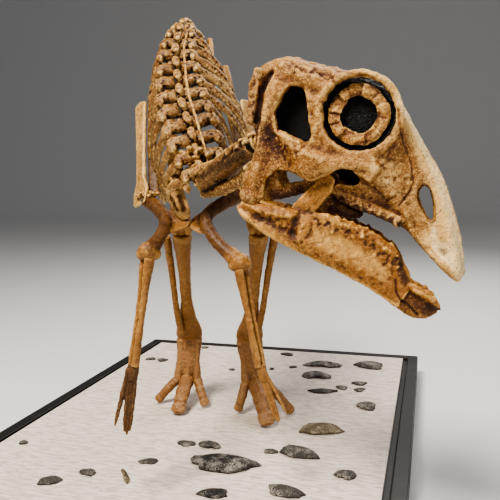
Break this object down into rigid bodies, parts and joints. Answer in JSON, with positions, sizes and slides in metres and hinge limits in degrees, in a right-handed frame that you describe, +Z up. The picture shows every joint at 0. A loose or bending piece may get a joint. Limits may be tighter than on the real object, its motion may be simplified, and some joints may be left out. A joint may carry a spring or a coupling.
{
  "type": "mounted duck-billed dinosaur nestling skeleton cast",
  "caption": "Life-size museum cast of a nestling duck-billed dinosaur skeleton, standing on its hind legs with its head turned, on a display board with a pale mat and eggshell pieces.",
  "frame": {"origin": "middle of the board's underside", "axes": "+Z up, +Y to the back of the board, +X to the right of someone who faces the display"},
  "size_m": [0.3313, 0.4831, 0.3312],
  "materials": {
    "skull_bone": "painted resin cast, warm ochre bone with brown cracks, slight satin",
    "jaw_bone": "painted resin cast, reddish ochre bone, satin",
    "pale_bone": "painted resin cast, cream bone, satin",
    "spine_bone": "painted resin cast, tan bone with dark recesses, matte",
    "limb_bone": "painted resin cast, brown bone, satin",
    "dark_bone": "painted resin cast, dark brown bone, satin",
    "board_paint": "charcoal painted board, satin",
    "mat_felt": "off-white felted foam with fine sideways fibres",
    "eggshell": "grey cast eggshell with fine ridges, matte"
  },
  "bodies": {
    "root": {"skull": "skull_bone", "scleral_ring_right": "pale_bone", "scleral_ring_left": "pale_bone", "dentary_right": "jaw_bone", "dentary_left": "jaw_bone", "predentary": "jaw_bone", "neck_front": "spine_bone", "neck_rear": "spine_bone", "ribcage_right": "spine_bone", "ribcage_left": "spine_bone", "sacrum": "spine_bone", "tail_1": "spine_bone", "tail_2": "spine_bone", "tail_3": "spine_bone", "tail_4": "spine_bone", "ilium_right": "limb_bone", "pubis_right": "limb_bone", "ischium_right": "limb_bone", "scapula_right": "pale_bone", "humerus_right": "limb_bone", "ulna_right": "dark_bone", "radius_right": "dark_bone", "hand_right": "dark_bone", "femur_right": "limb_bone", "tibia_right": "limb_bone", "fibula_right": "limb_bone", "metatarsus_right": "limb_bone", "toe_outer_right": "dark_bone", "toe_middle_right": "dark_bone", "toe_inner_right": "dark_bone", "ilium_left": "limb_bone", "pubis_left": "limb_bone", "ischium_left": "limb_bone", "scapula_left": "pale_bone", "humerus_left": "limb_bone", "ulna_left": "dark_bone", "radius_left": "dark_bone", "hand_left": "dark_bone", "femur_left": "limb_bone", "tibia_left": "limb_bone", "fibula_left": "limb_bone", "metatarsus_left": "limb_bone", "toe_outer_left": "dark_bone", "toe_middle_left": "dark_bone", "toe_inner_left": "dark_bone", "base_board": "board_paint", "mat": "mat_felt", "eggshell_01": "eggshell", "eggshell_02": "eggshell", "eggshell_03": "eggshell", "eggshell_04": "eggshell", "eggshell_05": "eggshell", "eggshell_06": "eggshell", "eggshell_07": "eggshell", "eggshell_08": "eggshell", "eggshell_09": "eggshell", "eggshell_10": "eggshell", "eggshell_11": "eggshell", "eggshell_12": "eggshell", "eggshell_13": "eggshell"}
  },
  "joints": []
}
